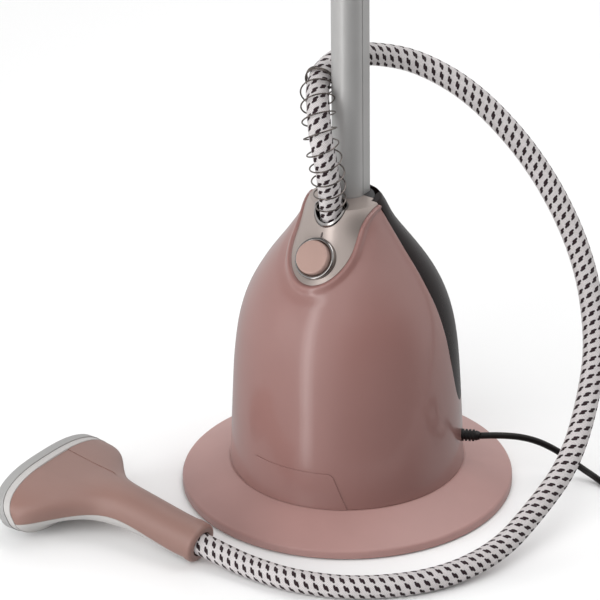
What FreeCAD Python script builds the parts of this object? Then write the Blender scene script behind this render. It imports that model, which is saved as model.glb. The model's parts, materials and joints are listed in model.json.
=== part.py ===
import FreeCAD, Part
import os
import re
from math import cos, hypot, pi, radians, sin, tan

import Sketcher
from FreeCAD import Placement, Rotation, Vector

# Garment steamer on a round base, in millimetres. +Z is up, the floor is Z = 0, the origin is the
# centre of the base, the front (power button, drain cover) faces -Y and the water tank is at the back.

SIZES = {
    # base disc
    "disc_radius": 170, "disc_rim_top": 10, "disc_rim_low": 2, "disc_edge_round": 3.2,
    "disc_wall": 3, "dome_radius": 122, "dome_top": 29.5,
    "cover_radius": 163, "cover_top": 4.2, "foot_outer": 158, "foot_inner": 148,
    "cover_screw_circle": 140, "body_screw_circle": 114.8, "boss_top": 19.8,
    # bell-shaped body
    "shell_wall": 2.6, "bell_bottom": 29.5, "bell_top": 323, "fit_gap": 0.35,
    "trim_half_width": 33, "trim_arc_height": 289.5,
    "drain_low_half": 60, "drain_high_half": 45, "drain_top": 69, "drain_proud": 1.0,
    # power button, on the axis normal to the bell
    "button_forward": 61.7, "button_height": 278.6, "button_tilt": 54.6,
    "button_radius": 17.3, "button_proud": 9.5, "button_travel": 2.5,
    "bezel_outer": 21.4, "bezel_inner": 17.8,
    # steam outlet, tilted forward a little
    "outlet_forward": 26.2, "outlet_height": 300, "outlet_tilt": 8,
    "outlet_outer": 17.2, "outlet_inner": 15.9, "hose_radius": 11.6, "connector_radius": 12.6,
    # pole: a half round front and a square back
    "pole_front_radius": 16.5, "pole_round_back": 5.5, "pole_square": 16.5, "pole_corner": 2.5,
    "pole_wall": 1.6, "pole_step": 2.3, "pole_low": 162, "pole_lower_top": 760,
    "middle_low": 345, "middle_top": 822, "upper_low": 370, "upper_top": 884,
    "clamp_height": 46, "clamp_wall": 6, "clamp_lap": 26,
    # hanger
    "head_height": 42, "arm_length": 178, "arm_drop": 46, "arm_thick": 12, "pivot_radius": 4,
    # tank
    "tank_wall": 2.4, "tank_top": 288, "notch_half": 25, "notch_back": 31,
    "rim_inner": 29.4,
    # mains lead
    "lead_radius": 3.4, "coil_inner": 26.4, "coil_outer": 47.6, "coil_height": 13.8,
}

doc = FreeCAD.newDocument("garment_steamer")
sheet = doc.addObject("Spreadsheet::Sheet", "Sizes")
for row, (alias, value) in enumerate(SIZES.items(), start=1):
    sheet.set(f"A{row}", alias)
    sheet.set(f"B{row}", str(value))
    sheet.setAlias(f"B{row}", alias)
doc.recompute()

subparts = []


def size(alias):
    return float(sheet.get(alias))


def on_sheet(text):
    """Writes an expression's size names as cells of the sheet."""
    return re.sub(r"[a-z_]{2,}", lambda word: f"Sizes.{word[0]}" if word[0] in SIZES else word[0], str(text))


def bind(thing, at=(0, 0, 0), turn=None, **sizes):
    """Binds a thing's sizes and its place to the sheet; turn is an axis and an angle in degrees."""
    if turn:
        thing.Placement = Placement(Vector(), Rotation(Vector(*turn[0]), turn[1]))
    for axis, text in zip("xyz", at):
        thing.setExpression(f"Placement.Base.{axis}", on_sheet(text))
    for name, text in sizes.items():
        thing.setExpression(name, on_sheet(text))
    return thing


def add(kind, name):
    return doc.addObject(f"Part::{kind}", name)


def box(name, length, width, height, at=(0, 0, 0), turn=None):
    return bind(add("Box", name), at, turn, Length=length, Width=width, Height=height)


def cylinder(name, radius, height, at=(0, 0, 0), turn=None):
    return bind(add("Cylinder", name), at, turn, Radius=radius, Height=height)


def torus(name, ring, section, at=(0, 0, 0), turn=None):
    return bind(add("Torus", name), at, turn, Radius1=ring, Radius2=section)


def cut(name, base, *tools):
    result = base
    for number, tool in enumerate(tools, start=1):
        step = add("Cut", name if number == len(tools) else f"{name}_cut{number}")
        step.Base, step.Tool = result, tool
        result = step
    return result


def fuse(name, *things):
    result = add("MultiFuse", name)
    result.Shapes = list(things)
    return result


def common(name, *things):
    result = add("MultiCommon", name)
    result.Shapes = list(things)
    return result


def group(name, things):
    result = add("Compound", name)
    result.Links = list(things)
    return result


def feature(name, shape):
    result = add("Feature", name)
    result.Shape = shape
    return result


def rounded(name, thing, radius, pick):
    """Rounds the edges of a thing that pick chooses."""
    doc.recompute()
    result = add("Fillet", name)
    result.Base = thing
    result.Edges = [(n, radius, radius) for n, edge in enumerate(thing.Shape.Edges, start=1) if pick(edge)]
    return result


def keep(thing, label):
    thing.Label = label
    subparts.append(thing)
    return thing


def ring(name, outer, inner, height, at=(0, 0, 0), turn=None):
    """A plain ring; its bore runs past both faces."""
    solid = cylinder(f"{name}_solid", outer, height, at, turn)
    bore = cylinder(f"{name}_bore", inner, height, at, turn)
    return cut(name, solid, bore)


def spline(points):
    curve = Part.BSplineCurve()
    curve.interpolate([Vector(*point) for point in points])
    return curve.toShape()


def chain(points):
    return Part.makePolygon([Vector(*point) for point in points])


def tube_along(points, radius, report=None):
    """A tube along straight runs joined by tangent arcs, each arc as large as its runs allow."""
    points = [Vector(*point) for point in points]
    edges, start, radii = [], points[0], []
    for before, corner, after in zip(points, points[1:], points[2:]):
        come, leave = (corner - before), (after - corner)
        half_turn = come.getAngle(leave) / 2
        reach = 0.45 * min(come.Length, leave.Length)
        radii.append(reach / tan(half_turn))
        come.normalize()
        leave.normalize()
        first, last = corner - come * reach, corner + leave * reach
        inward = leave - come
        inward.normalize()
        centre = corner + inward * (radii[-1] / cos(half_turn))
        outward = corner - centre
        outward.normalize()
        edges.append(Part.LineSegment(start, first).toShape())
        edges.append(Part.Arc(first, centre + outward * radii[-1], last).toShape())
        start = last
    edges.append(Part.LineSegment(start, points[-1]).toShape())
    path = Part.Wire(edges)
    heading = points[1] - points[0]
    section = Part.Wire(Part.makeCircle(radius, points[0], heading))
    tube = path.makePipeShell([section], True, False)
    if report:
        ratio = tube.Volume / (pi * radius**2 * path.Length)
        print(f"{report}: length {path.Length:.0f}, volume ratio {ratio:.4f}, "
              f"radii {', '.join(f'{r:.0f}' for r in radii)}")
    return tube


# --- the bell and the lines that divide it ------------------------------------------------------

BELL = [(120, 29.5), (118.7, 60), (116.4, 110), (113.9, 150), (108.2, 190), (98.6, 220),
        (82.1, 250), (60.7, 280), (47.6, 300), (38.2, 319), (35.5, 323)]


def bell_points(inset):
    """The bell's outline moved inward along its own normal."""
    moved = []
    for number, (radius, height) in enumerate(BELL):
        low, high = BELL[max(number - 1, 0)], BELL[min(number + 1, len(BELL) - 1)]
        along = (high[0] - low[0], high[1] - low[1])
        length = hypot(*along)
        moved.append((radius - inset * along[1] / length, height + inset * along[0] / length))
    return moved


def bell_solid(inset=0.0, low=None, cap=0.0):
    """The solid bell inside an inset outline, from height low, closed flat at the top."""
    points = bell_points(inset)
    low = points[0][1] if low is None else low
    side = spline([(radius, 0, height) for radius, height in points])
    (first, foot), (last, top) = points[0], points[-1]
    rest = [(last, 0, top), (0, 0, top + cap), (0, 0, low), (first, 0, low)]
    edges = [side] + chain(rest).Edges
    if abs(low - foot) > 1e-6:
        edges.append(Part.makeLine(Vector(first, 0, low), Vector(first, 0, foot)))
    return Part.Face(Part.Wire(edges)).revolve(Vector(), Vector(0, 0, 1), 360)


PARTING = [(46, 100), (37, 103), (29, 113), (20.5, 135), (13.5, 170), (9, 205), (6.5, 245), (6.5, 285),
           (5.5, 300), (3.5, 310), (1.5, 318), (0, 324), (-1, 332)]


def behind_parting(shift):
    """The space behind the line that divides the body from the tank, moved back and up by shift."""
    line = spline([(0, along + shift, height + shift) for along, height in PARTING])
    (low_y, low_z), (high_y, high_z) = PARTING[0], PARTING[-1]
    rest = chain([(0, high_y + shift, high_z + shift), (0, high_y + shift, 340), (0, 150, 340),
                  (0, 150, low_z + shift), (0, low_y + shift, low_z + shift)])
    face = Part.Face(Part.Wire([line] + rest.Edges))
    face.translate(Vector(-150, 0, 0))
    return face.extrude(Vector(300, 0, 0))


def trim_outline(grow):
    """The front outline of the trim plate, drawn out from behind the pole to the front."""
    half, centre = size("trim_half_width") + grow, size("trim_arc_height")
    flare_low, flare_high, flare_out = 304, 330, half + 9
    edges = [
        Part.Arc(Vector(-half, 0, centre), Vector(0, 0, centre - half), Vector(half, 0, centre)).toShape(),
        Part.makeLine(Vector(half, 0, centre), Vector(half, 0, flare_low)),
        Part.Arc(Vector(half, 0, flare_low), Vector(half + 2.2, 0, 317),
                 Vector(flare_out, 0, flare_high)).toShape(),
        Part.makeLine(Vector(flare_out, 0, flare_high), Vector(-flare_out, 0, flare_high)),
        Part.Arc(Vector(-flare_out, 0, flare_high), Vector(-half - 2.2, 0, 317),
                 Vector(-half, 0, flare_low)).toShape(),
        Part.makeLine(Vector(-half, 0, flare_low), Vector(-half, 0, centre)),
    ]
    face = Part.Face(Part.Wire(edges))
    face.translate(Vector(0, -150, 0))
    return face.extrude(Vector(0, 150 + 6.2 + grow, 0))


def drain_outline(grow):
    """The drain cover's trapezium, drawn out from the middle of the body to the front."""
    low, high = size("drain_low_half") + grow, size("drain_high_half") + grow
    bottom, top = size("bell_bottom"), size("drain_top") + grow
    face = Part.Face(chain([(-low, 0, bottom - 1), (low, 0, bottom - 1), (high, 0, top), (-high, 0, top),
                            (-low, 0, bottom - 1)]))
    rounded_prism = face.extrude(Vector(0, -150, 0))
    uprights = [edge for edge in rounded_prism.Edges
                if abs(edge.tangentAt(0).y) > 0.99 and edge.CenterOfMass.z > top - 1]
    return rounded_prism.makeFillet(7, uprights)


def pole_outline(inset):
    """The pole's section: half round in front, square behind with small corners."""
    radius, back = size("pole_front_radius") - inset, size("pole_round_back") + size("pole_square") - inset
    middle, corner = size("pole_round_back"), max(size("pole_corner") - inset / 2, 0.8)
    edges = [
        Part.Arc(Vector(-radius, middle, 0), Vector(0, middle - radius, 0),
                 Vector(radius, middle, 0)).toShape(),
        Part.makeLine(Vector(radius, middle, 0), Vector(radius, back - corner, 0)),
        Part.Arc(Vector(radius, back - corner, 0),
                 Vector(radius - corner * (1 - cos(pi / 4)), back - corner * (1 - sin(pi / 4)), 0),
                 Vector(radius - corner, back, 0)).toShape(),
        Part.makeLine(Vector(radius - corner, back, 0), Vector(corner - radius, back, 0)),
        Part.Arc(Vector(corner - radius, back, 0),
                 Vector(corner * (1 - cos(pi / 4)) - radius, back - corner * (1 - sin(pi / 4)), 0),
                 Vector(-radius, back - corner, 0)).toShape(),
        Part.makeLine(Vector(-radius, back - corner, 0), Vector(-radius, middle, 0)),
    ]
    return Part.Face(Part.Wire(edges))


def pole_bar(inset, low, high):
    bar = pole_outline(inset)
    bar.translate(Vector(0, 0, low))
    return bar.extrude(Vector(0, 0, high - low))


def outlet_frame(height):
    """A place on the steam outlet's axis, height above its foot."""
    return Placement(Vector(0, -size("outlet_forward"), size("outlet_height")),
                     Rotation(Vector(1, 0, 0), size("outlet_tilt"))).multVec(Vector(0, 0, height))


def outlet_cylinder(radius, start, length):
    """A cylinder on the steam outlet's axis."""
    return Part.makeCylinder(radius, length, outlet_frame(start), outlet_frame(1) - outlet_frame(0))


BUTTON_TURN = ((1, 0, 0), SIZES["button_tilt"])


def button_at(depth):
    """A place on the button's axis, depth below the bell's surface."""
    forward = f"-button_forward + ({depth}) * sin(button_tilt)"
    return (0, forward, f"button_height - ({depth}) * cos(button_tilt)")


# --- base ---------------------------------------------------------------------------------------

def revolved_body(name, outline, label):
    """A PartDesign body whose sketch, a closed chain of corners in the XZ plane, turns about Z."""
    body = doc.addObject("PartDesign::Body", name)
    plane = [item for item in body.Origin.OriginFeatures if item.Role == "XZ_Plane"][0]
    sketch = body.newObject("Sketcher::SketchObject", f"{name}_outline")
    sketch.AttachmentSupport = [(plane, "")]
    sketch.MapMode = "FlatFace"
    corners = [Vector(size_of(x), size_of(y), 0) for x, y in outline]
    for start, end in zip(corners, corners[1:] + corners[:1]):
        sketch.addGeometry(Part.LineSegment(start, end), False)
    count = len(outline)
    for number in range(count):
        sketch.addConstraint(Sketcher.Constraint("Coincident", number, 2, (number + 1) % count, 1))
    for number, (across, up) in enumerate(outline):
        corner = corners[number]
        for kind, text, value in (("DistanceX", across, corner.x), ("DistanceY", up, corner.y)):
            index = sketch.addConstraint(Sketcher.Constraint(kind, -1, 1, number, 1, value))
            sketch.setExpression(f"Constraints[{index}]", on_sheet(text))
    doc.recompute()
    turn = body.newObject("PartDesign::Revolution", f"{name}_turn")
    turn.Profile = sketch
    turn.ReferenceAxis = (sketch, ["V_Axis"])
    turn.Angle = 360
    body.Tip = turn
    doc.recompute()
    return body if label is None else keep(body, label)


def size_of(text):
    """The value of an expression of the sheet's sizes."""
    words = re.sub(r"[a-z_]{2,}", lambda word: str(SIZES[word[0]]), str(text))
    total = 0.0
    for sign, term in re.findall(r"([+-]?)\s*([0-9.]+)", words):
        total += -float(term) if sign == "-" else float(term)
    return total


def make_base():
    disc = revolved_body("disc_blank", [
        ("disc_radius", "disc_rim_low"), ("disc_radius", "disc_rim_top"),
        ("dome_radius", "dome_top"), ("dome_radius - 10", "dome_top"),
        ("dome_radius - 10", "dome_top - disc_wall"),
        ("dome_radius", "dome_top - disc_wall"), ("cover_radius + 0.4", "disc_rim_top - disc_wall"),
        ("cover_radius + 0.4", "disc_rim_low")], None)
    rim = (size("disc_radius"), size("disc_rim_top"))
    disc_round = rounded("disc_rounded", disc, size("disc_edge_round"), lambda edge: edge.isClosed() and hypot(
        edge.Length / (2 * pi) - rim[0], edge.CenterOfMass.z - rim[1]) < 0.1)
    bosses = []
    for number in range(6):
        angle = radians(30 + 60 * number)
        spot = (f"cover_screw_circle * {cos(angle):.6f}", f"cover_screw_circle * {sin(angle):.6f}", "cover_top")
        boss = cylinder(f"cover_boss_{number}", 5, "boss_top - cover_top", spot)
        hole = cylinder(f"cover_boss_hole_{number}", 1.7, 7.5, spot)
        bosses.append(cut(f"cover_boss_bored_{number}", boss, hole))
    keep(fuse("base_disc_join", disc_round, *bosses), "base_disc")

    cover = cylinder("cover_plate", "cover_radius", "cover_top - disc_rim_low", (0, 0, "disc_rim_low"))
    drills, screws = [], []
    for number in range(6):
        angle = radians(30 + 60 * number)
        x, y = f"cover_screw_circle * {cos(angle):.6f}", f"cover_screw_circle * {sin(angle):.6f}"
        drills.append(cylinder(f"cover_hole_{number}", 1.9, 6, (x, y, 0)))
        drills.append(cylinder(f"cover_sink_{number}", 3.6, 1.1, (x, y, "disc_rim_low")))
        head = cylinder(f"cover_screw_head_{number}", 3.3, 0.9, (x, y, "disc_rim_low + 0.2"))
        shank = cylinder(f"cover_screw_shank_{number}", 1.6, 8, (x, y, "disc_rim_low + 0.2"))
        slot = box(f"cover_screw_slot_{number}", 4, 0.8, 0.5, (f"{x} - 2", f"{y} - 0.4", "disc_rim_low + 0.2"))
        screws.append(cut(f"cover_screw_{number}", fuse(f"cover_screw_join_{number}", head, shank), slot))
    keep(cut("underside_cover_cut", cover, *drills), "underside_cover")
    keep(group("cover_screw_group", screws), "cover_screws")
    keep(ring("foot", "foot_outer", "foot_inner", "disc_rim_low"), "foot_ring")


# --- body ---------------------------------------------------------------------------------------

def make_body():
    wall, gap = size("shell_wall"), size("fit_gap")
    inner = bell_solid(wall, size("bell_bottom") - 5)
    skin = bell_solid().cut(inner)
    pole_hole = pole_bar(-0.4, 150, 340)
    outlet_hole = outlet_cylinder(size("outlet_outer") + 0.3, -20, 60)
    bezel_seat = Part.makeCylinder(size("bezel_outer") + 0.2, 40, button_point(15), button_normal())
    lead_bore = Part.makeCylinder(7.2, 30, lead_point(-20), lead_heading())
    shell = skin.cut(behind_parting(0)).cut(trim_outline(gap)).cut(drain_outline(gap))
    shell = shell.cut(lead_bore).cut(pole_hole)
    keep(feature("body_shell_shape", shell.fuse(rim_ledge())), "body_shell")

    capped = bell_solid(0, size("bell_bottom") - 5, 3).cut(bell_solid(wall, size("bell_bottom") - 5, 3))
    front_neck = capped.common(trim_outline(0))
    inside_rim = Part.makeCylinder(size("rim_inner") - gap, 60, Vector(0, 0, 290))
    trim = front_neck.cut(behind_parting(0).cut(inside_rim))
    trim = trim.cut(pole_hole).cut(outlet_hole).cut(bezel_seat).cut(indicator_slot(0.15))
    keep(feature("trim_plate_shape", trim), "trim_plate")
    keep(feature("indicator_shape", indicator_slot(0)), "indicator_lens")

    proud = size("drain_proud")
    drain = bell_solid(-proud).cut(bell_solid(wall - proud)).common(drain_outline(0))
    drain = drain.cut(Part.makeBox(300, 300, 40, Vector(-150, -150, size("bell_bottom") + 0.4 - 40)))
    keep(feature("drain_cover_shape", drain), "drain_cover")

    front_half = Part.makeBox(120, 120, 400, Vector(-60, 6.6 - 120, 0))
    neck = capped.cut(front_half).common(inside_rim).cut(Part.makeBox(120, 120, 10, Vector(-60, -60, 290)))
    neck = neck.cut(pole_hole)
    neck_wall = Part.makeCylinder(size("rim_inner") - gap, 22, Vector(0, 0, 300))
    neck_wall = neck_wall.cut(Part.makeCylinder(26, 22, Vector(0, 0, 300))).cut(front_half).cut(pole_hole)
    keep(feature("neck_ring_shape", neck.fuse(neck_wall).removeSplitter()), "neck_ring")

    outlet_ring = outlet_cylinder(size("outlet_outer"), -12, 50)
    outlet_ring = outlet_ring.cut(outlet_cylinder(size("outlet_inner"), -12, 50))
    outlet_ring = outlet_ring.common(bell_solid(-1.0, 200, 3)).cut(pole_bar(-0.3, 150, 340))
    keep(feature("outlet_ring_shape", outlet_ring), "hose_outlet_ring")

    bay = bell_solid(wall + gap, 60).common(behind_parting(-3.6)).cut(behind_parting(-1.2))
    bay = bay.cut(Part.makeBox(300, 300, 60, Vector(-150, -150, 286)))
    socket_space = Part.makeBox(46, 60, 280, Vector(-23, -24, 60))
    valve_hole = Part.makeCylinder(9.5, 30, Vector(0, 72, 85))
    keep(feature("tank_bay_shape", bay.cut(socket_space).cut(valve_hole)), "tank_bay")


def button_normal():
    tilt = radians(size("button_tilt"))
    return Vector(0, -sin(tilt), cos(tilt))


def button_point(depth):
    return Vector(0, -size("button_forward"), size("button_height")) - button_normal() * depth


def indicator_slot(grow):
    """A narrow bar set into the trim plate above the button."""
    lens = Part.makeBox(1.4 + 2 * grow, 5.2 + 2 * grow, 3.2, Vector(-0.7 - grow, -2.6 - grow, -2.4))
    lens.Placement = Placement(Vector(0, -48.05, 299.2), Rotation(Vector(1, 0, 0), size("button_tilt")))
    return lens


def rim_ledge():
    """The inward flange at the body's foot, with the bosses that its screws bite into."""
    radius, low = 120 - size("shell_wall") + 0.3, size("bell_bottom")
    ledge = Part.makeCylinder(radius, 3, Vector(0, 0, low))
    ledge = ledge.cut(Part.makeCylinder(radius - 12, 3, Vector(0, 0, low)))
    return ledge.cut(drain_outline(size("fit_gap")))


LEAD_ANGLE, LEAD_HEIGHT = 22.0, 59.0


def lead_heading():
    return Vector(cos(radians(LEAD_ANGLE)), sin(radians(LEAD_ANGLE)), 0)


def lead_point(out):
    """A place on the mains lead's axis, out from the body's side."""
    return lead_heading() * (118.6 + out) + Vector(0, 0, LEAD_HEIGHT)


def make_button():
    cap = cylinder("button_blank", "button_radius", "button_proud + 3", button_at("3"), BUTTON_TURN)
    cap_round = rounded("button_rounded", cap, 1.8, lambda edge: (edge.CenterOfMass - button_point(0)).dot(
        button_normal()) > 5 and edge.isClosed())
    cavity = cylinder("button_cavity", "button_radius - 2.2", "button_proud + 0.6", button_at("3"), BUTTON_TURN)
    stem = cylinder("button_stem", 4, "button_proud + 12.6", button_at("13.6"), BUTTON_TURN)
    keep(fuse("power_button_join", cut("button_hollow", cap_round, cavity), stem), "power_button")
    bezel = ring("bezel", "bezel_outer", "bezel_inner", 9.5, button_at("6"), BUTTON_TURN)
    keep(rounded("bezel_rounded", bezel, 1.5, lambda edge: (edge.CenterOfMass - button_point(0)).dot(
        button_normal()) > 3 and edge.isClosed()), "button_bezel")
    switch = box("switch_case", 24, 24, 14, button_corner(12, 12, 30.5), BUTTON_TURN)
    tongue = box("switch_tongue", 6, 16, 6, button_corner(3, 8, 36.5), BUTTON_TURN)
    keep(fuse("power_switch_join", switch, tongue), "power_switch")
    rings = []
    for number in range(6):
        place = button_at(f"{6.6 + 1.7 * number:.1f}")
        rings.append(torus(f"spring_turn_{number}", 7, 0.45, place, BUTTON_TURN))
    keep(group("button_spring_turns", rings), "button_spring")


def button_corner(half_x, half_y, depth):
    """The low corner of a box that stands on the button's axis."""
    place = f"-button_forward + {depth} * sin(button_tilt) - {half_y} * cos(button_tilt)"
    return (-half_x, place, f"button_height - {depth} * cos(button_tilt) - {half_y} * sin(button_tilt)")


# --- water tank ---------------------------------------------------------------------------------

VALVE_Y = 72


def make_tank():
    wall, notch_half, notch_back = size("tank_wall"), size("notch_half"), size("notch_back")
    floor = PARTING[0][1] + 0.4
    neck_bore = Part.makeCylinder(size("rim_inner"), 60, Vector(0, 0, size("tank_top") - 2))
    notch = Part.makeBox(2 * notch_half, 100, 400, Vector(-notch_half, notch_back - 100, 0))
    bell = bell_solid(0, None, 0)
    shoulder = [edge for edge in bell.Edges if edge.isClosed() and edge.CenterOfMass.z > size("bell_top") - 0.1]
    bell = bell.makeFillet(2.6, shoulder)
    outer = bell.common(behind_parting(0.4)).cut(notch).cut(neck_bore)
    cavity = bell_solid(wall, None, 0).common(behind_parting(0.4 + wall))
    cavity = cavity.cut(Part.makeBox(2 * (notch_half + wall), 100, 400,
                                     Vector(-notch_half - wall, notch_back + wall - 100, 0)))
    cavity = cavity.cut(Part.makeBox(300, 300, 100, Vector(-150, -150, size("tank_top") - 6)))
    outlet = Part.makeCylinder(15, 12, Vector(0, VALVE_Y, floor - 3))
    keep(feature("water_tank_shape", outer.cut(cavity).cut(outlet)), "water_tank")

    cap = Part.makeCylinder(14.8, 5, Vector(0, VALVE_Y, floor + 0.2))
    cap = cap.fuse(Part.makeCylinder(9, 12, Vector(0, VALVE_Y, floor + 0.2)))
    cap = cap.cut(Part.makeCylinder(4, 20, Vector(0, VALVE_Y, floor - 2)))
    keep(feature("tank_cap_shape", cap), "tank_cap")
    plunger = Part.makeCylinder(2.2, 15, Vector(0, VALVE_Y, floor + 0.6))
    plunger = plunger.fuse(Part.makeCylinder(6, 2, Vector(0, VALVE_Y, floor + 13.6)))
    keep(feature("tank_valve_shape", plunger), "tank_valve")
    keep(feature("tank_seal_shape", Part.makeCylinder(11.5, 1.4, Vector(0, VALVE_Y, floor - 1.6)).cut(
        Part.makeCylinder(7, 1.4, Vector(0, VALVE_Y, floor - 1.6)))), "tank_seal")


# --- pole, clamps and hanger --------------------------------------------------------------------

def make_pole():
    wall, step = size("pole_wall"), size("pole_step")
    lower = pole_bar(0, size("pole_low"), size("pole_lower_top")).cut(pole_bar(wall, 0, 900))
    for side in (-1, 1):
        corner = Vector(side * size("pole_front_radius") - 0.8, size("pole_round_back"), 150)
        lower = lower.cut(Part.makeBox(1.6, 1.3, 700, corner))
    keep(feature("pole_lower_shape", lower), "pole_lower")
    middle = pole_bar(step, size("middle_low"), size("middle_top")).cut(pole_bar(step + 1.4, 0, 900))
    keep(feature("pole_middle_shape", middle), "pole_middle")
    upper = pole_bar(2 * step, size("upper_low"), size("upper_top")).cut(pole_bar(2 * step + 1.3, 0, 900))
    keep(feature("pole_upper_shape", upper), "pole_upper")
    socket = Part.makeBox(43, 42.5, 247, Vector(-21.5, -15.5, 34.8))
    socket = socket.cut(pole_bar(-0.3, size("pole_low") - 0.3, 340)).cut(
        Part.makeBox(34, 33, 120, Vector(-17, -11, 30)))
    keep(feature("pole_socket_shape", socket), "pole_socket")
    make_clamp("lower", size("pole_lower_top"), 0, step)
    make_clamp("upper", size("middle_top"), step, 2 * step)


def make_clamp(which, tube_top, lower_inset, upper_inset):
    """A clamp on the top of one tube that grips the next: collar, flip lever at the back and its pin."""
    low, high = tube_top - size("clamp_lap"), tube_top - size("clamp_lap") + size("clamp_height")
    grown = size("clamp_wall") - lower_inset
    half = size("pole_front_radius") + grown
    front, back = size("pole_round_back") - half, size("pole_round_back") + size("pole_square") + grown
    collar = Part.makeBox(2 * half, back - front, high - low, Vector(-half, front, low))
    uprights = [edge for edge in collar.Edges if abs(edge.tangentAt(0).z) > 0.99]
    front_edges = [edge for edge in uprights if edge.CenterOfMass.y < 0]
    collar = collar.makeFillet(half - 2, front_edges)
    collar = collar.makeFillet(5, [edge for edge in collar.Edges
                                   if edge.Length > high - low - 1 and edge.CenterOfMass.y > back - 1])
    rims = [edge for edge in collar.Edges
            if min(abs(edge.CenterOfMass.z - low), abs(edge.CenterOfMass.z - high)) < 0.1]
    collar = collar.makeFillet(1.5, rims)
    pin_y, pin_z = back + 5.5, high - 9
    for side in (-1, 1):
        ear = Part.makeBox(4, 13, 14, Vector(side * 9 - 2, back - 2, pin_z - 7))
        ear = ear.makeFillet(2.5, [edge for edge in ear.Edges
                                   if abs(edge.tangentAt(0).x) > 0.99 and edge.CenterOfMass.y > back])
        collar = collar.fuse(ear)
    collar = collar.cut(pole_bar(lower_inset - 0.25, low - 5, tube_top))
    collar = collar.cut(pole_bar(upper_inset - 0.35, low - 5, high + 5))
    collar = collar.fuse(Part.makeCylinder(2.0, 20, Vector(-10, pin_y, pin_z), Vector(1, 0, 0)))
    keep(feature(f"clamp_{which}_shape", collar), f"clamp_{which}")
    lever = Part.makeCylinder(4.6, 13.2, Vector(-6.6, pin_y, pin_z), Vector(1, 0, 0))
    blade = Part.makeBox(13.2, 4, 34, Vector(-6.6, pin_y - 0.2, pin_z - 34))
    grip = Part.makeBox(20, 3.4, 16, Vector(-10, pin_y + 0.2, pin_z - 42))
    grip = grip.makeFillet(1.2, grip.Edges)
    pin_bore = Part.makeCylinder(2.06, 40, Vector(-20, pin_y, pin_z), Vector(1, 0, 0))
    lever = lever.fuse(blade).fuse(grip).cut(pin_bore)
    keep(feature(f"clamp_lever_{which}_shape", lever), f"clamp_lever_{which}")


PIVOT_X, PIVOT_Y, PIVOT_Z = 28.0, 6.0, 899.0


def make_hanger():
    low, high = size("upper_top") - 16, size("upper_top") - 16 + size("head_height")
    head = Part.makeBox(84, 28, high - low, Vector(-42, -8, low))
    head = head.makeFillet(9, [edge for edge in head.Edges if abs(edge.tangentAt(0).y) > 0.99])
    head = head.makeFillet(3, [edge for edge in head.Edges if abs(edge.CenterOfMass.y - 6) > 13.9])
    head = head.cut(pole_bar(2 * size("pole_step") - 0.25, low - 5, size("upper_top")))
    for side in (-1, 1):
        corner = Vector(side * 37 - 22, PIVOT_Y - 6.4, low - 5)
        head = head.cut(Part.makeBox(44, size("arm_thick") + 0.8, 60, corner))
        head = head.fuse(Part.makeCylinder(3, 27, Vector(side * PIVOT_X, -7.5, PIVOT_Z), Vector(0, 1, 0)))
    keep(feature("hanger_head_shape", head), "hanger_head")
    for side, label in ((-1, "hanger_arm_left"), (1, "hanger_arm_right")):
        keep(feature(f"{label}_shape", hanger_arm(side)), label)

    hook = Part.makeBox(54, 4, 26, Vector(-27, -12, low + 6))
    for side in (-1, 1):
        prong = Part.makeBox(7, 52, 6, Vector(side * 22.5 - 3.5, -60, low + 8))
        tip = Part.makeBox(7, 6, 16, Vector(side * 22.5 - 3.5, -60, low + 8))
        hook = hook.fuse(prong).fuse(tip)
    hook = hook.removeSplitter()
    hook = hook.makeFillet(1.6, [edge for edge in hook.Edges if edge.CenterOfMass.y < -14])
    keep(feature("handset_hook_shape", hook), "handset_hook")


def hanger_arm(side):
    """A curved arm that grows thinner towards its tip."""
    reach, drop, half = size("arm_length"), size("arm_drop"), size("arm_thick") / 2
    start = PIVOT_X * side
    top = Part.Arc(Vector(start, 0, PIVOT_Z + 9),
                   Vector(start + side * reach * 0.52, 0, PIVOT_Z - drop * 0.2 + 3),
                   Vector(start + side * reach, 0, PIVOT_Z - drop + 6)).toShape()
    bottom = Part.Arc(Vector(start + side * reach, 0, PIVOT_Z - drop - 5),
                      Vector(start + side * reach * 0.5, 0, PIVOT_Z - drop * 0.2 - 15),
                      Vector(start, 0, PIVOT_Z - 9)).toShape()
    tip = Part.Arc(Vector(start + side * reach, 0, PIVOT_Z - drop + 6),
                   Vector(start + side * (reach + 6), 0, PIVOT_Z - drop),
                   Vector(start + side * reach, 0, PIVOT_Z - drop - 5)).toShape()
    root = Part.makeLine(Vector(start, 0, PIVOT_Z - 9), Vector(start, 0, PIVOT_Z + 9))
    face = Part.Face(Part.Wire([top, tip, bottom, root]))
    bar = face.extrude(Vector(0, 2 * half, 0))
    bar.translate(Vector(0, PIVOT_Y - half, 0))
    knuckle = Part.makeCylinder(9, 2 * half, Vector(start, PIVOT_Y - half, PIVOT_Z), Vector(0, 1, 0))
    arm = bar.makeFillet(2, [edge for edge in bar.Edges if edge.Length > 60]).fuse(knuckle)
    return arm.cut(Part.makeCylinder(3.06, 60, Vector(start, -20, PIVOT_Z), Vector(0, 1, 0)))


# --- works inside the body ----------------------------------------------------------------------

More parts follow.
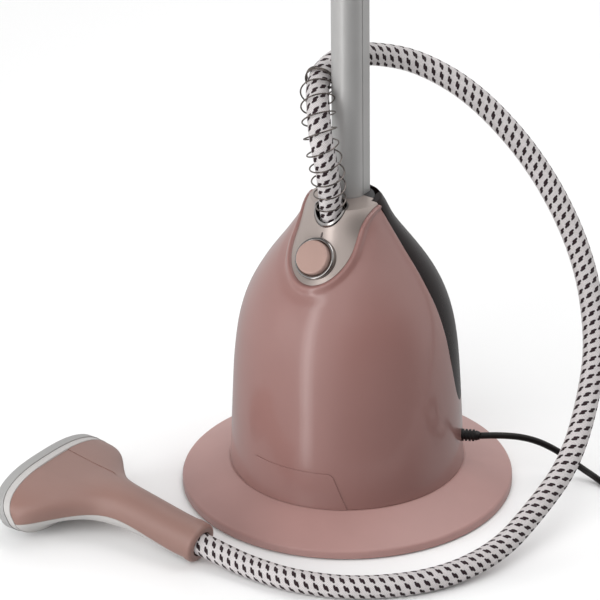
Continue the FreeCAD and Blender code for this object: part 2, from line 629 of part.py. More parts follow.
def make_works():
    deck = 34.5
    keep(cylinder("chassis_plate", 115.5, 2, (0, 0, deck - 2)), "chassis")
    screws = []
    for number in range(6):
        angle = radians(60 * number)
        x, y = f"body_screw_circle * {cos(angle):.6f}", f"body_screw_circle * {sin(angle):.6f}"
        screws.append(cylinder(f"body_screw_head_{number}", 2.6, 2.2, (x, y, "dome_top - disc_wall - 2.2")))
    keep(group("body_screw_group", screws), "body_screws")

    boiler_x, boiler_y = -56, -34
    boiler = Part.makeCylinder(33, 52, Vector(boiler_x, boiler_y, deck + 9))
    boiler = boiler.makeFillet(4, [edge for edge in boiler.Edges
                                   if edge.isClosed() and edge.CenterOfMass.z < deck + 20])
    for number in range(3):
        angle = radians(40 + 120 * number)
        foot = Part.makeCylinder(4, 14, Vector(boiler_x + 34 * cos(angle), boiler_y + 34 * sin(angle), deck))
        boiler = boiler.fuse(foot)
    boiler = boiler.cut(Part.makeCylinder(29, 44, Vector(boiler_x, boiler_y, deck + 17.5)))
    keep(feature("boiler_shape", boiler), "boiler")
    lid = Part.makeCylinder(33, 4, Vector(boiler_x, boiler_y, deck + 61))
    lid = lid.fuse(Part.makeCylinder(7, 10.8, Vector(boiler_x + 14, boiler_y + 6, deck + 61)))
    keep(feature("boiler_lid_shape", lid), "boiler_lid")
    sheath = Part.makeTorus(22, 3.6, Vector(boiler_x, boiler_y, deck + 4.6))
    for side in (-1, 1):
        sheath = sheath.fuse(Part.makeCylinder(2.4, 14, Vector(boiler_x + 22, boiler_y + side * 6, deck + 4.6),
                                               Vector(1, 0, 0)))
    keep(feature("heating_element_shape", sheath), "heating_element")
    seat = Vector(boiler_x - 12, boiler_y - 8, deck + 65.8)
    thermostat = Part.makeCylinder(8.5, 7, seat).fuse(Part.makeCylinder(11, 1.6, seat))
    keep(feature("thermostat_shape", thermostat), "thermostat")

    pump = Part.makeBox(34, 42, 34, Vector(42, -62, deck + 1))
    pump = pump.makeFillet(4, [edge for edge in pump.Edges if abs(edge.tangentAt(0).z) > 0.99])
    pump = pump.fuse(Part.makeCylinder(12, 16, Vector(59, -20, deck + 18), Vector(0, 1, 0)))
    pump = pump.fuse(Part.makeCylinder(5, 10, Vector(59, -72, deck + 18), Vector(0, 1, 0)))
    keep(feature("water_pump_shape", pump), "water_pump")
    inlet = Part.makeCylinder(6.5, 17, Vector(0, VALVE_Y, 81.8))
    inlet = inlet.fuse(Part.makeCylinder(11.5, 2, Vector(0, VALVE_Y, 94.2)))
    keep(feature("water_inlet_shape", inlet), "water_inlet")
    inlet_pipe = tube_along([(0, 72, 81.8), (2, 70, 66), (16, 52, 54), (38, 24, 52.5), (59, 8, 52.5),
                             (59, -4, 52.5)], 3.5, "inlet_pipe")
    keep(feature("inlet_pipe_shape", inlet_pipe), "inlet_pipe")
    feed_pipe = tube_along([(59, -72, 52.5), (59, -82, 53), (44, -92, 56), (18, -86, 60), (-4, -70, 62),
                            (-20, -52, 62), (-27, -45, 62)], 3, "feed_pipe")
    keep(feature("feed_pipe_shape", feed_pipe), "feed_pipe")
    steam_pipe = tube_along([(boiler_x + 14, boiler_y + 6, deck + 71.8), (boiler_x + 14, boiler_y + 5, 130),
                             (-38, -36, 165), (-32, -36, 200), (-29, -27, 232), (-24, -22.5, 259),
                             (-13, -22, 274), outlet_frame(-16)], 5, "steam_pipe")
    keep(feature("steam_pipe_shape", steam_pipe), "steam_pipe")
    board = Part.makeBox(62, 1.6, 74, Vector(26, -58, 112))
    for x, z, wide, tall in ((32, 120, 16, 20), (56, 124, 22, 14), (36, 150, 12, 12), (60, 152, 18, 22)):
        board = board.fuse(Part.makeBox(wide, 9, tall, Vector(x, -56.4, z)))
    keep(feature("control_board_shape", board), "control_board")
    drain_valve = Part.makeCylinder(9, 20, Vector(0, -112, 50), Vector(0, 1, 0))
    drain_valve = drain_valve.fuse(Part.makeBox(16, 8, 16, Vector(-8, -100, deck)))
    drain_valve = drain_valve.fuse(Part.makeBox(4, 5, 14, Vector(-2, -115, 43)))
    keep(feature("drain_valve_shape", drain_valve), "drain_valve")

    keep(feature("hose_connector_shape", outlet_cylinder(size("connector_radius"), -16, 19)), "hose_connector")


# --- mains lead ---------------------------------------------------------------------------------

LEAD_ROUTE = [(148, 63, 60), (171, 85, 51), (190, 107, 31), (209, 119, 11.5), (233, 117, 3.4), (262, 98, 3.4),
              (285, 80, 3.4)]
COIL_CENTRE = (316, 113)
TAIL_ROUTE = [(336, 66, 10.2), (346, 61.5, 10.6), (357, 59, 12.5)]


def make_lead():
    out = lead_heading()
    gland = Part.makeCone(6.4, 6.1, 15.4, lead_point(-1), out)
    for number in range(4):
        place = lead_point(2.2 + 3.6 * number)
        gland = gland.cut(Part.makeCylinder(8, 1.5, place, out).cut(Part.makeCylinder(4.8, 1.5, place, out)))
    gland = gland.fuse(Part.makeCone(5.4, 4.0, 4.2, lead_point(14.4), out))
    gland = gland.fuse(Part.makeCylinder(7, 6, lead_point(-6), out))
    gland = gland.fuse(Part.makeCylinder(9, 2.5, lead_point(-8.5), out))
    keep(feature("cord_gland_shape", gland), "cord_gland")
    radius = size("lead_radius")
    lead = tube_along([lead_point(18.6)] + LEAD_ROUTE, radius, "mains_lead")
    keep(feature("mains_lead_shape", lead), "mains_lead")
    coil = Part.makeCylinder(size("coil_outer"), size("coil_height"), Vector(*COIL_CENTRE, 0))
    coil = coil.cut(Part.makeCylinder(size("coil_inner"), size("coil_height"), Vector(*COIL_CENTRE, 0)))
    keep(feature("mains_coil_shape", coil), "mains_coil")
    keep(feature("mains_tail_shape", tube_along(TAIL_ROUTE, radius, "mains_tail")), "mains_tail")
    make_plug()


def make_plug():
    """A round two-pin plug that lies on its side beside the coil."""
    x, y, z = TAIL_ROUTE[-1]
    ahead = Vector(*TAIL_ROUTE[-1]) - Vector(*TAIL_ROUTE[-2])
    ahead.z = 0
    ahead.normalize()
    start, side = Vector(x, y, z), Vector(-ahead.y, ahead.x, 0)
    neck = Part.makeCone(5.2, 8.5, 16, start, ahead)
    grip = Part.makeCone(8.5, 12.4, 8, start + ahead * 16, ahead)
    body = Part.makeCylinder(12.4, 12, start + ahead * 24, ahead)
    nose = Part.makeCone(12.4, 11.4, 4, start + ahead * 36, ahead)
    keep(feature("plug_body_shape", neck.fuse(grip).fuse(body).fuse(nose).removeSplitter()), "plug_body")
    pins = [Part.makeCylinder(2.4, 19, start + ahead * 40 + side * (9.5 * hand), ahead) for hand in (-1, 1)]
    keep(feature("plug_pins_shape", Part.makeCompound(pins)), "plug_pins")


# --- steam hose ---------------------------------------------------------------------------------

HOSE_ROUTE = [(0, -26.6, 303), (0, -31, 332), (1.3, -38.7, 368), (-4, -42, 398), (-14, -29.5, 424),
              (-27, -9, 440), (-31.8, 14, 448), (-27.5, 44, 452), (-15, 84, 443), (24, 112, 431),
              (81.4, 129.7, 398), (150, 134.4, 333), (202, 130.4, 249), (230.8, 105.3, 172),
              (241.8, 67.3, 122), (245.6, 19.4, 72.5), (234.4, -35, 41), (222.2, -89.5, 18.5),
              (191.5, -155, 11.8), (132.5, -207.5, 11.8), (70, -226.5, 11.8), (15, -224, 12),
              (-20, -220.5, 16)]
GUARD_ROUTE = [(0, -31, 332), (1.3, -38.7, 368), (-4, -42, 398), (-14, -29.5, 424), (-19.2, -21.3, 430.4)]


def make_hose():
    end = handset_place().multVec(COLLAR_START + COLLAR_AXIS * 3.4)
    hose = tube_along(HOSE_ROUTE + [end], size("hose_radius"), "steam_hose")
    keep(feature("steam_hose_shape", hose), "steam_hose")
    guard = tube_along(GUARD_ROUTE, 15.4).cut(tube_along(GUARD_ROUTE, 12.8))
    keep(feature("hose_guard_shape", guard), "hose_spring_guard")


# --- handset ------------------------------------------------------------------------------------
# It lies in front of the base. Its own frame has X forward from the hose end and Z up.

HEAD_TILT = 22.0
COLLAR_START, COLLAR_AXIS = Vector(0, 0, 21.4), Vector(1, 0, 0.19).normalize()
SECTIONS = [  # forward, half width, bottom, top, squareness
    (10, 21.0, 2.2, 44.2, 2.0), (48, 21.3, 7.8, 50.2, 2.0), (88, 23.0, 13.4, 56.6, 2.1),
    (110, 29.0, 15.6, 57.8, 2.2),
    (130, 44.0, 17.5, 57.6, 2.3), (150, 66.0, 15.0, 57.8, 2.5),
]
FRONT = (176, 82.0, 4.0, 61.0, 2.6)
SPLIT_LINE = [(0, 11.5), (12, 11.8), (50, 20.5), (90, 31), (125, 31.5), (185, 23.5)]  # forward, up


def handset_place():
    return Placement(Vector(-40, -222, 0), Rotation(Vector(0, 0, 1), 174.5))


def section_wire(forward, half_width, bottom, top, square, inset=0.0, tilt=0.0):
    """A closed superellipse across the handset; tilt leans its top forward."""
    middle, half_height = (bottom + top) / 2, (top - bottom) / 2 - inset
    points = []
    for number in range(24):
        angle = 2 * pi * number / 24
        across, up = cos(angle), sin(angle)
        y = (half_width - inset) * abs(across) ** (2 / square) * (1 if across >= 0 else -1)
        z = half_height * abs(up) ** (2 / square) * (1 if up >= 0 else -1)
        points.append(Vector(forward + z * tan(radians(tilt)), y, middle + z))
    curve = Part.BSplineCurve()
    curve.interpolate(points, PeriodicFlag=True)
    return Part.Wire(curve.toShape())


def handset_loft(inset):
    wires = [section_wire(*row, inset) for row in SECTIONS]
    wires.append(section_wire(*FRONT, inset, HEAD_TILT))
    return Part.makeLoft(wires, True, False)


def front_slab(start, end, grow):
    """A slab whose outline is the head's front, from start to end ahead of it."""
    low = section_wire(FRONT[0] + start, FRONT[1], *FRONT[2:], -grow, HEAD_TILT)
    return Part.Face(low).extrude(Vector(end - start, 0, 0))


def split_tool(shift):
    """The space above the line between the upper and the lower shell."""
    (first, low), (last, high) = SPLIT_LINE[0], SPLIT_LINE[-1]
    edges = [spline([(x, 0, z) for x, z in SPLIT_LINE])]
    edges += chain([(last, 0, high), (260, 0, high), (260, 0, 120), (first, 0, 120), (first, 0, low)]).Edges
    face = Part.Face(Part.Wire(edges))
    face.translate(Vector(0, -120, shift))
    return face.extrude(Vector(0, 240, 0))


def head_panel():
    """The shallow panel in the top of the head: it widens to the front and ends round at the handle."""
    rear, front, narrow, wide, depth = 115, 205, 17.6, 25, 0.6
    face = Part.Face(chain([(rear, -narrow, 45), (front, -wide, 45), (front, wide, 45), (rear, narrow, 45),
                            (rear, -narrow, 45)]))
    prism = face.extrude(Vector(0, 0, 40))
    corners = [edge for edge in prism.Edges
               if abs(edge.tangentAt(0).z) > 0.99 and edge.CenterOfMass.x < rear + 1]
    return handset_loft(0).cut(handset_loft(depth)).common(prism.makeFillet(12, corners))


def make_handset():
    shell = handset_loft(0).cut(handset_loft(2.2))
    upper = shell.common(split_tool(0.15)).cut(head_panel())
    lower = shell.cut(split_tool(-0.15))
    trim = front_slab(0.2, 7.5, 0.6).cut(front_slab(0.2, 7.5, -4))
    plate = front_slab(7.8, 17, 1.4)
    for across in range(-6, 7):
        for row in (-1, 1):
            if abs(across * 11) < 62 or row > 0:
                place = Vector(150, across * 11, 32 + row * 13)
                plate = plate.cut(Part.makeCylinder(1.6, 60, place, Vector(1, 0, 0)))
    chamber = front_slab(-14, -0.5, -4).common(handset_loft(3.2))
    collar = Part.makeCylinder(21.2, 14, COLLAR_START, COLLAR_AXIS)
    mouth = [edge for edge in collar.Edges if edge.isClosed() and edge.CenterOfMass.x < 1]
    collar = collar.makeFillet(4, mouth).cut(Part.makeCylinder(13.4, 14, COLLAR_START, COLLAR_AXIS))
    collar = collar.cut(Part.makeBox(40, 60, 80, Vector(9.8, -30, -10)))
    sleeve = Part.makeCylinder(13.2, 8.6, COLLAR_START + COLLAR_AXIS * 5.8, COLLAR_AXIS)
    pipe = Part.makeCylinder(5, 146, Vector(16.5, 0, 24.5), Vector(1, 0, 0.05))
    pieces = {"handset_upper_shell": upper, "handset_lower_shell": lower, "handset_trim_ring": trim,
              "steam_plate": plate, "steam_chamber": chamber.fuse(pipe), "handset_collar": collar,
              "hose_sleeve": sleeve}
    place = handset_place()
    for label, shape in pieces.items():
        shape.Placement = place.multiply(shape.Placement)
        keep(feature(f"{label}_shape", shape), label)


make_base()
make_body()
make_button()
make_tank()
make_pole()
make_hanger()
make_works()
make_lead()
make_hose()
make_handset()
doc.recompute()
for thing in doc.Objects:
    if "Invalid" in thing.State or "Error" in thing.State:
        raise RuntimeError(f"{thing.Label} failed: {thing.State}")
os.makedirs("parts", exist_ok=True)
for part in subparts:
    if part.Shape.isNull() or not part.Shape.isValid():
        raise RuntimeError(f"{part.Label} has no valid shape")
    print(part.Label, len(part.Shape.Solids), round(part.Shape.Volume / 1000, 1), "cm3")
    part.Shape.exportStep(f"parts/{part.Label}.step")
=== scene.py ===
import json
from math import acos, cos, pi, radians, sin

import bmesh
import bpy
from mathutils import Matrix, Vector


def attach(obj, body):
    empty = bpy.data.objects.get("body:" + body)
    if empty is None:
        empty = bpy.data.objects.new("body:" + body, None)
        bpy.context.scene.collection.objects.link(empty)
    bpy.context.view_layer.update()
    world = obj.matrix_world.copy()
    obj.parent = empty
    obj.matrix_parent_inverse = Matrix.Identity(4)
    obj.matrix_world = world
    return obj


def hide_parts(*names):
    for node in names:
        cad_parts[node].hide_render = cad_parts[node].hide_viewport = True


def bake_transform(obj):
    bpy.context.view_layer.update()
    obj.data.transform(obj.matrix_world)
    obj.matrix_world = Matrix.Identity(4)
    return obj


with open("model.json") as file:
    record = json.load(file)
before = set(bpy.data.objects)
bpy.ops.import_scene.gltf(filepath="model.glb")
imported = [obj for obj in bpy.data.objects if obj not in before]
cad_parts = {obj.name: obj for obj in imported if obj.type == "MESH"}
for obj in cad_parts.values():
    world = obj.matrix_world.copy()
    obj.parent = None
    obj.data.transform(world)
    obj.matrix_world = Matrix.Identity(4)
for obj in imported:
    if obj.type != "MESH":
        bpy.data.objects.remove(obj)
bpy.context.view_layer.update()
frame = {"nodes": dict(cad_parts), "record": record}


# --- small helpers --------------------------------------------------------------------------------

def mm(*values):
    return Vector([value / 1000 for value in values])


def link(piece, body, slot, *nodes):
    """Puts a piece on its body and hides the CAD nodes that it stands for; its slot is not used."""
    if piece.name not in bpy.context.scene.objects:
        bpy.context.scene.collection.objects.link(piece)
    if body:
        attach(piece, body)
    if nodes:
        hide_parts(*nodes)
    return piece


def mesh_piece(name, points, faces, smooth=True):
    mesh = bpy.data.meshes.new(name)
    mesh.from_pydata([tuple(point) for point in points], [], faces)
    mesh.validate()
    mesh.update()
    for face in mesh.polygons:
        face.use_smooth = smooth
    return bpy.data.objects.new(name, mesh)


def grid_faces(rows, columns, closed):
    """Quads of a grid of rows x columns points; closed joins the last column to the first."""
    faces = []
    for row in range(rows - 1):
        for column in range(columns if closed else columns - 1):
            following = (column + 1) % columns
            faces.append((row * columns + column, row * columns + following,
                          (row + 1) * columns + following, (row + 1) * columns + column))
    return faces


def write_uv(piece, uv):
    """One u, v for each point; the faces at a closing seam get their own u, so that nothing wraps back."""
    layer = piece.data.uv_layers.new(name="Along")
    for face in piece.data.polygons:
        pairs = [uv[piece.data.loops[corner].vertex_index] for corner in face.loop_indices]
        high = max(pair[1] for pair in pairs)
        for corner, (along, around) in zip(face.loop_indices, pairs):
            layer.data[corner].uv = (along, around + (1 if high - around > 0.5 else 0))


def nurbs(name, route, resolution):
    """A curve of one open NURBS spline with the route's points."""
    data = bpy.data.curves.new(name, "CURVE")
    data.dimensions = "3D"
    data.resolution_u = resolution
    spline = data.splines.new("NURBS")
    spline.points.add(len(route) - 1)
    for point, place in zip(spline.points, route):
        point.co = (*mm(*place), 1)
    spline.order_u = 3
    spline.use_endpoint_u = True
    return bpy.data.objects.new(name, data)


def line_of(route, resolution=24):
    """Points along the NURBS spline of a route."""
    guide = nurbs("guide", route, resolution)
    bpy.context.scene.collection.objects.link(guide)
    line = [vertex.co.copy() for vertex in bpy.data.meshes.new_from_object(guide).vertices]
    bpy.data.objects.remove(guide)
    return line


def frames_along(line):
    """(place, side, up, length so far) at each point of a line, turning as little as possible."""
    frames, so_far = [], 0.0
    side = None
    for number, place in enumerate(line):
        ahead = (line[min(number + 1, len(line) - 1)] - line[max(number - 1, 0)]).normalized()
        side = ahead.orthogonal() if side is None else side - ahead * side.dot(ahead)
        side.normalize()
        if number:
            so_far += (place - line[number - 1]).length
        frames.append((place, side.copy(), ahead.cross(side), so_far))
    return frames


def tube(name, line, radius, sides=48, relief=None):
    """A mesh tube round a line; relief(length so far, turn) adds to its radius."""
    points, uv = [], []
    frames = frames_along(line)
    for place, side, up, so_far in frames:
        for number in range(sides):
            turn = 2 * pi * number / sides
            out = radius + (relief(so_far, number / sides) if relief else 0)
            points.append(place + (side * cos(turn) + up * sin(turn)) * out)
            uv.append((so_far, number / sides))
    faces = grid_faces(len(frames), sides, True)
    faces.append(tuple(reversed(range(sides))))
    faces.append(tuple(range(len(points) - sides, len(points))))
    piece = mesh_piece(name, points, faces)
    write_uv(piece, uv)
    return piece


def even(line, step):
    """The same line with points a step apart."""
    result, left = [line[0].copy()], step
    for start, end in zip(line, line[1:]):
        run = (end - start).length
        while run >= left:
            start = start + (end - start).normalized() * left
            result.append(start.copy())
            run, left = (end - start).length, step
        left -= run
    return result + [line[-1].copy()]


# --- camera ---------------------------------------------------------------------------------------

HEADING = radians(30)
CAMERA_PLACE = (-13.1, -3846.8, 2135.4)
YAW, PITCH, ROLL = radians(-0.503), radians(26.634), radians(-0.631)
SENSOR_WIDTH, FOCAL_LENGTH = 36, 255.1836


def from_view(place):
    """A place in the camera's own upright frame, in mm, as a place in the row frame."""
    return Matrix.Rotation(HEADING, 3, "Z") @ mm(*place)


def camera_axes():
    """The camera's right, up and ahead directions in the row frame."""
    ahead = Vector((sin(YAW) * cos(PITCH), cos(YAW) * cos(PITCH), -sin(PITCH)))
    level = Vector((cos(YAW), -sin(YAW), 0))
    upward = level.cross(ahead)
    right = level * cos(ROLL) + upward * sin(ROLL)
    top = -level * sin(ROLL) + upward * cos(ROLL)
    turned = Matrix.Rotation(HEADING, 3, "Z")
    return turned @ right, turned @ top, turned @ ahead


right, top, ahead = camera_axes()

camera_data = bpy.data.cameras.new("camera")
camera_data.sensor_width = SENSOR_WIDTH
camera_data.lens = FOCAL_LENGTH
camera_data.clip_end = 20
camera = bpy.data.objects.new("camera", camera_data)
camera.matrix_world = Matrix.Translation(from_view(CAMERA_PLACE)) @ Matrix(
    (right, top, -ahead)).transposed().to_4x4()
bpy.context.scene.collection.objects.link(camera)
bpy.context.scene.camera = camera


# --- materials ------------------------------------------------------------------------------------

def linear(red, green, blue):
    """An sRGB colour of 0 to 255 as linear light."""
    values = []
    for value in (red, green, blue):
        value /= 255
        values.append(value / 12.92 if value <= 0.04045 else ((value + 0.055) / 1.055) ** 2.4)
    return (*values, 1)


class Paint:
    """A material and the few node moves that the recipes below share."""

    def __init__(self, name, color, rough=0.4, metal=0.0, **sockets):
        self.material = bpy.data.materials.new(name)
        self.material.use_nodes = True
        self.nodes, self.links = self.material.node_tree.nodes, self.material.node_tree.links
        self.shader = self.nodes["Principled BSDF"]
        self.shader.inputs["Base Color"].default_value = color
        self.shader.inputs["Roughness"].default_value = rough
        self.shader.inputs["Metallic"].default_value = metal
        for socket, value in sockets.items():
            self.shader.inputs[socket.replace("_", " ")].default_value = value

    def node(self, kind, inputs=(), **settings):
        node = self.nodes.new(f"ShaderNode{kind}")
        for name, value in settings.items():
            setattr(node, name, value)
        for socket, value in dict(inputs).items():
            if isinstance(value, bpy.types.NodeSocket):
                self.links.new(value, node.inputs[socket])
            else:
                node.inputs[socket].default_value = value
        return node

    def where(self):
        return self.node("TexCoord").outputs["Object"]

    def uv(self):
        return self.node("UVMap", uv_map="Along").outputs["UV"]

    def noise(self, scale, detail=3, vector=None):
        return self.node("TexNoise", {"Vector": vector or self.where(), "Scale": scale,
                                      "Detail": detail}).outputs["Fac"]

    def ramp(self, factor, stops):
        node = self.node("ValToRGB", {"Fac": factor})
        elements = node.color_ramp.elements
        elements[0].position, elements[0].color = stops[0]
        elements[1].position, elements[1].color = stops[-1]
        for position, color in stops[1:-1]:
            elements.new(position).color = color
        return node.outputs["Color"]

    def math(self, operation, first, second=0.0):
        return self.node("Math", {0: first, 1: second}, operation=operation).outputs["Value"]

    def mix(self, factor, first, second):
        node = self.node("Mix", {"Factor": factor, 6: first, 7: second}, data_type="RGBA")
        return node.outputs[2]

    def set(self, socket, value):
        self.links.new(value, self.shader.inputs[socket])

    def bump(self, height, strength, distance):
        node = self.node("Bump", {"Height": height, "Strength": strength, "Distance": distance})
        self.set("Normal", node.outputs["Normal"])


def plastic(name, color, rough, grain=900, grain_height=0.00002, variation=0.05, gloss=0.04, **sockets):
    """Moulded plastic: a fine grain, and colour and gloss that drift a little."""
    paint = Paint(name, color, rough, **sockets)
    drift = paint.noise(14, 4)
    darker = tuple(value * (1 - variation) for value in color[:3]) + (1,)
    lighter = tuple(min(1, value * (1 + variation)) for value in color[:3]) + (1,)
    paint.set("Base Color", paint.ramp(drift, [(0.3, darker), (0.7, lighter)]))
    sheen = paint.node("MapRange", {"Value": paint.noise(40, 5), "To Min": max(0.02, rough - gloss),
                                    "To Max": rough + gloss})
    paint.set("Roughness", sheen.outputs["Result"])
    paint.bump(paint.noise(grain, 2), 0.35, grain_height)
    return paint.material


def metal(name, color, rough, along=(1, 1, 40), **sockets):
    """Metal with a fine drawn or brushed grain along one direction."""
    paint = Paint(name, color, rough, 1.0, **sockets)
    stretch = paint.node("Mapping", {"Vector": paint.where(), "Scale": along})
    brushed = paint.noise(120, 4, stretch.outputs["Vector"])
    span = paint.node("MapRange", {"Value": brushed, "To Min": rough - 0.06, "To Max": rough + 0.1})
    paint.set("Roughness", span.outputs["Result"])
    paint.bump(brushed, 0.08, 0.00004)
    return paint.material


DASHES_PER_METRE, DASH_COLUMNS = 105.0, 8.0
DASH_PLACES = ((0.37, 0.42), (0.63, 0.58))
DASH_SLANT, DASH_HALF_ACROSS, DASH_HALF_ALONG = 0.32, 0.33, 0.14
YARNS_PER_METRE, YARNS_PER_COLUMN = 620.0, 5.0


def braid(name):
    """Woven sleeve of fine pale yarns, with staggered pairs of dark slanted dashes across it."""
    paint = Paint(name, linear(188, 187, 186), 0.8)
    split = paint.node("SeparateXYZ", {"Vector": paint.uv()})
    wobble = paint.math("MULTIPLY", paint.math("SUBTRACT", paint.noise(700, 2), 0.5), 0.07)
    along = paint.math("ADD", paint.math("MULTIPLY", split.outputs["X"], DASHES_PER_METRE), wobble)
    around = paint.math("MULTIPLY", split.outputs["Y"], DASH_COLUMNS)
    shift = paint.math("MULTIPLY", paint.math("MODULO", paint.math("FLOOR", around), 2.0), 0.5)
    row = paint.math("FRACT", paint.math("ADD", along, shift))
    column = paint.math("ADD", paint.math("FRACT", around), wobble)
    dashes = None
    for row_at, column_at in DASH_PLACES:
        across = paint.math("SUBTRACT", column, column_at)
        slant = paint.math("MULTIPLY", across, DASH_SLANT)
        up = paint.math("SUBTRACT", paint.math("SUBTRACT", row, row_at), slant)
        wide = paint.math("DIVIDE", paint.math("ABSOLUTE", across), DASH_HALF_ACROSS)
        tall = paint.math("DIVIDE", paint.math("ABSOLUTE", up), DASH_HALF_ALONG)
        wide, tall = paint.math("POWER", wide, 3.0), paint.math("POWER", tall, 3.0)
        dash = paint.node("MapRange", {"Value": paint.math("ADD", wide, tall), "From Min": 0.75,
                                       "From Max": 1.25, "To Min": 1.0, "To Max": 0.0}).outputs["Result"]
        dashes = dash if dashes is None else paint.math("MAXIMUM", dashes, dash)
    yarn_along = paint.math("MULTIPLY", split.outputs["X"], YARNS_PER_METRE)
    yarn_around = paint.math("MULTIPLY", around, YARNS_PER_COLUMN)
    waves = []
    for operation in ("ADD", "SUBTRACT"):
        crossing = paint.math("MULTIPLY", paint.math(operation, yarn_along, yarn_around), pi)
        waves.append(paint.math("ABSOLUTE", paint.math("SINE", crossing)))
    weave = paint.math("MULTIPLY", *waves)
    fray = paint.noise(1600, 3)
    # The yarn colour follows the weave and fibre relief: the fibre noise is the yarn's own tone, and the
    # weave adds painted shade in the hollows between the yarns and painted light on their crowns.
    relief = paint.math("ADD", paint.math("MULTIPLY", weave, 0.55), paint.math("MULTIPLY", fray, 0.5))
    yarn = paint.ramp(relief, [(0.12, linear(120, 115, 115)), (0.45, linear(196, 191, 191)),
                               (0.8, linear(226, 221, 221))])
    dark = paint.ramp(fray, [(0.3, linear(22, 8, 12)), (0.75, linear(46, 22, 30))])
    paint.set("Base Color", paint.mix(dashes, yarn, dark))
    paint.bump(paint.math("ADD", weave, paint.math("MULTIPLY", fray, 0.5)), 0.7, 0.0003)
    return paint.material


# --- cords ----------------------------------------------------------------------------------------

HOSE_RADIUS, LEAD_RADIUS, LEAD_LENGTH = 0.0116, 0.0034, 1.64
HOSE_ROUTE = [(0, -26.6, 303), (0, -31, 332), (1.3, -38.7, 368), (-4, -42, 398), (-14, -29.5, 424),
              (-27, -9, 440), (-31.8, 14, 448), (-27.5, 44, 452), (-15, 84, 443), (24, 112, 431),
              (81.4, 129.7, 398), (150, 134.4, 333), (202, 130.4, 249), (230.8, 105.3, 172),
              (241.8, 67.3, 122), (245.6, 19.4, 72.5), (234.4, -35, 41), (222.2, -89.5, 18.5),
              (191.5, -155, 11.8), (132.5, -207.5, 11.8), (70, -226.5, 11.8), (15, -224, 12),
              (-20, -220.5, 16), (-43.3, -221.7, 22)]
LEAD_ROUTE = [(127.2, 51.4, 59), (148, 63, 60), (171, 85, 51), (190, 107, 31), (209, 119, 11.5),
              (233, 117, 3.4), (262, 98, 3.4), (285, 80, 3.4)]
TAIL_ROUTE = [(336, 66, 10.2), (346, 61.5, 10.6), (357, 59, 12.5)]
COIL_CENTRE, COIL_START = (316, 113), radians(-120)
COIL_TURNS, COIL_STEPS = 3, 14
COIL_OUTER, COIL_INNER, COIL_LAYERS = 44.0, 30.0, (3.4, 10.3)


def coil_points():
    """Three turns inwards on the floor, and three outwards that lie on top of them."""
    points, count = [], COIL_TURNS * COIL_STEPS
    for layer, height in enumerate(COIL_LAYERS):
        for number in range(count):
            reach = (COIL_OUTER - COIL_INNER) * number / (count - 1)
            out = COIL_OUTER - reach if layer == 0 else COIL_INNER + reach
            turn = COIL_START + 2 * pi * (number + layer * count) / COIL_STEPS
            points.append((COIL_CENTRE[0] + out * cos(turn), COIL_CENTRE[1] + out * sin(turn), height))
    return points + [(313, 68, 10.3), (325, 67, 10.2)]


hose_line = even(line_of(HOSE_ROUTE), step=0.0025)
hose = tube("steam_hose_braid", hose_line, HOSE_RADIUS, sides=64)
bpy.context.scene.collection.objects.link(hose)
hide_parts("steam_hose")
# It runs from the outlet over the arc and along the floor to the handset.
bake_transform(hose)

mains_line = even(line_of(LEAD_ROUTE + coil_points() + TAIL_ROUTE), step=0.0015)
mains = tube("mains_cord", mains_line, LEAD_RADIUS, sides=20)
link(mains, "base", "black_rubber", "mains_lead", "mains_coil", "mains_tail")


# --- bell-shaped body -----------------------------------------------------------------------------

BELL = [(120, 29.5), (118.7, 60), (116.4, 110), (113.9, 150), (108.2, 190), (98.6, 220), (82.1, 250),
        (60.7, 280), (47.6, 300), (38.2, 319), (35.5, 323)]
PARTING = [(46, 100), (37, 103), (29, 113), (20.5, 135), (13.5, 170), (9, 205), (6.5, 245), (6.5, 285),
           (5.5, 300), (3.5, 310), (1.5, 318), (0, 324), (-1, 332)]


def through(points, step):
    """A smooth line (Catmull-Rom) through the points, as points about a step apart."""
    ends = [tuple(2 * a - b for a, b in zip(points[0], points[1]))] + list(points) + [
        tuple(2 * a - b for a, b in zip(points[-1], points[-2]))]
    line = []
    for before, start, end, after in zip(ends, ends[1:], ends[2:], ends[3:]):
        before, start, end, after = map(Vector, (before, start, end, after))
        knots = [0.0]
        for first, second in ((before, start), (start, end), (end, after)):
            knots.append(knots[-1] + max((second - first).length, 1e-6) ** 0.5)
        parts = max(1, round((end - start).length / step))
        for number in range(parts):
            t = knots[1] + (knots[2] - knots[1]) * number / parts
            a1 = before.lerp(start, (t - knots[0]) / (knots[1] - knots[0]))
            a2 = start.lerp(end, (t - knots[1]) / (knots[2] - knots[1]))
            a3 = end.lerp(after, (t - knots[2]) / (knots[3] - knots[2]))
            b1 = a1.lerp(a2, (t - knots[0]) / (knots[2] - knots[0]))
            b2 = a2.lerp(a3, (t - knots[1]) / (knots[3] - knots[1]))
            line.append(b1.lerp(b2, (t - knots[1]) / (knots[2] - knots[1])))
    return line + [Vector(points[-1])]


def parting_at(height):
    """How far back the line between body and tank lies at a height."""
    for (low_y, low_z), (high_y, high_z) in zip(PARTING_LINE, PARTING_LINE[1:]):
        if low_z <= height <= high_z:
            return low_y + (high_y - low_y) * (height - low_z) / max(high_z - low_z, 1e-6)
    return PARTING_LINE[-1][0]


PARTING_LINE = [tuple(point) for point in through(PARTING, 1.0)]


TRIM_CENTRE, TRIM_HALF = 289.5, 33
FLARE_START, FLARE_RISE, FLARE_OUT = 304, 26, 9


def trim_distance(x, z):
    """Distance outside the trim plate's front outline, and the way it grows."""
    if z < TRIM_CENTRE:
        reach = max(1e-6, (x * x + (z - TRIM_CENTRE) ** 2) ** 0.5)
        return reach - TRIM_HALF, (x / reach, (z - TRIM_CENTRE) / reach)
    half = TRIM_HALF + FLARE_OUT * max(0.0, (z - FLARE_START) / FLARE_RISE) ** 1.6
    return abs(x) - half, (1 if x > 0 else -1, 0)


